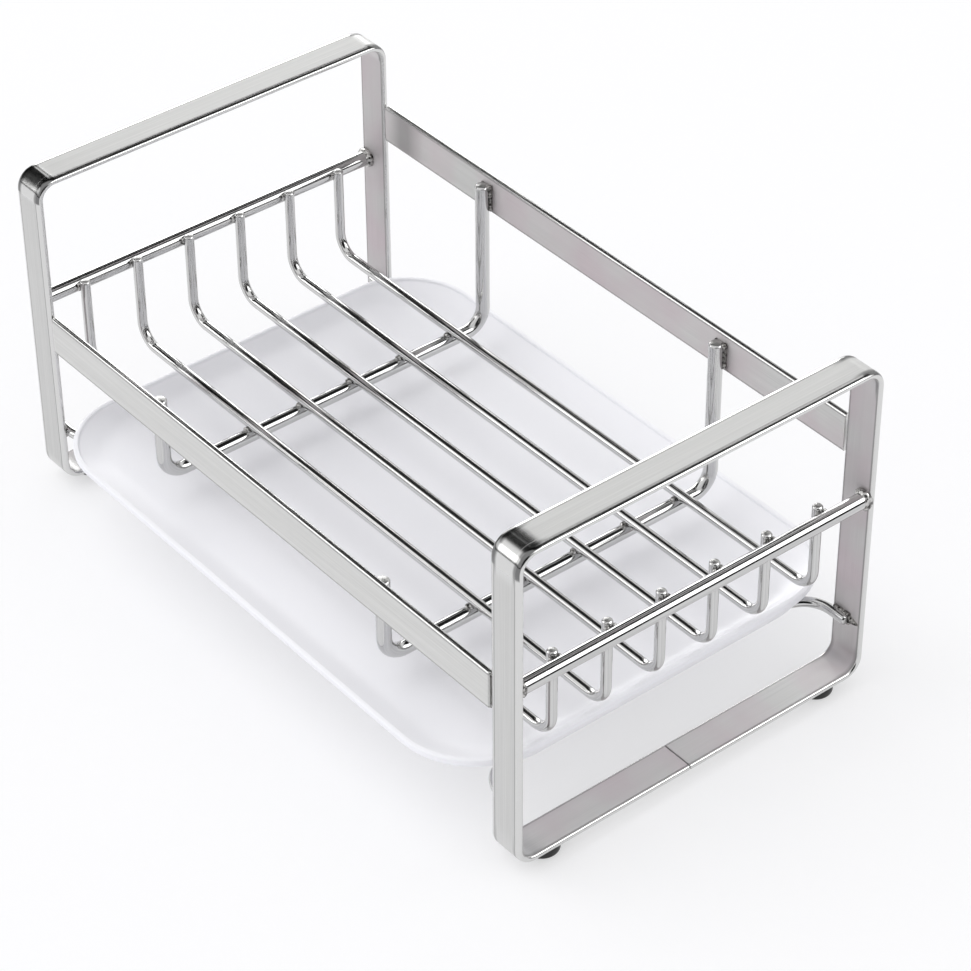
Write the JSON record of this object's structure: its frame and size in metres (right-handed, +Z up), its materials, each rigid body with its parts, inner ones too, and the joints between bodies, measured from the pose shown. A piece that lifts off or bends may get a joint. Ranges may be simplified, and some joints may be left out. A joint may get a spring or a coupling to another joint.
{
  "type": "sink caddy",
  "caption": "Low wire sink caddy for sponges and rags, with strip steel end frames, flat rails, a bent wire basket and a milky drip tray that slides out underneath.",
  "frame": {"origin": "on the counter, under the middle of the rack and its tray", "axes": "+X along the length to the right seen from the front, +Y from the low front rail to the high back rail, +Z up"},
  "size_m": [0.1828, 0.1156, 0.0889],
  "materials": {
    "brushed_strip": "brushed stainless strip with polished bends",
    "polished_wire": "electropolished stainless wire",
    "milky_plastic": "milky translucent, smooth",
    "black_rubber": "satin moulded rubber"
  },
  "bodies": {
    "rack": {"left_end_frame": "brushed_strip", "right_end_frame": "brushed_strip", "front_rail": "brushed_strip", "back_rail": "brushed_strip", "left_crossbar": "polished_wire", "right_crossbar": "polished_wire", "long_wire_1": "polished_wire", "long_wire_2": "polished_wire", "long_wire_3": "polished_wire", "long_wire_4": "polished_wire", "long_wire_5": "polished_wire", "long_wire_6": "polished_wire", "left_cross_wire": "polished_wire", "right_cross_wire": "polished_wire", "left_tray_support": "polished_wire", "right_tray_support": "polished_wire", "front_left_foot": "black_rubber", "front_right_foot": "black_rubber", "back_left_foot": "black_rubber", "back_right_foot": "black_rubber"},
    "drip_tray": {"drip_tray": "milky_plastic"}
  },
  "joints": [
    {"name": "tray_slide", "type": "slide", "parent": "rack", "child": "drip_tray", "axis": [0, 1, 0], "range_m": [-0.04, 0.04]}
  ]
}
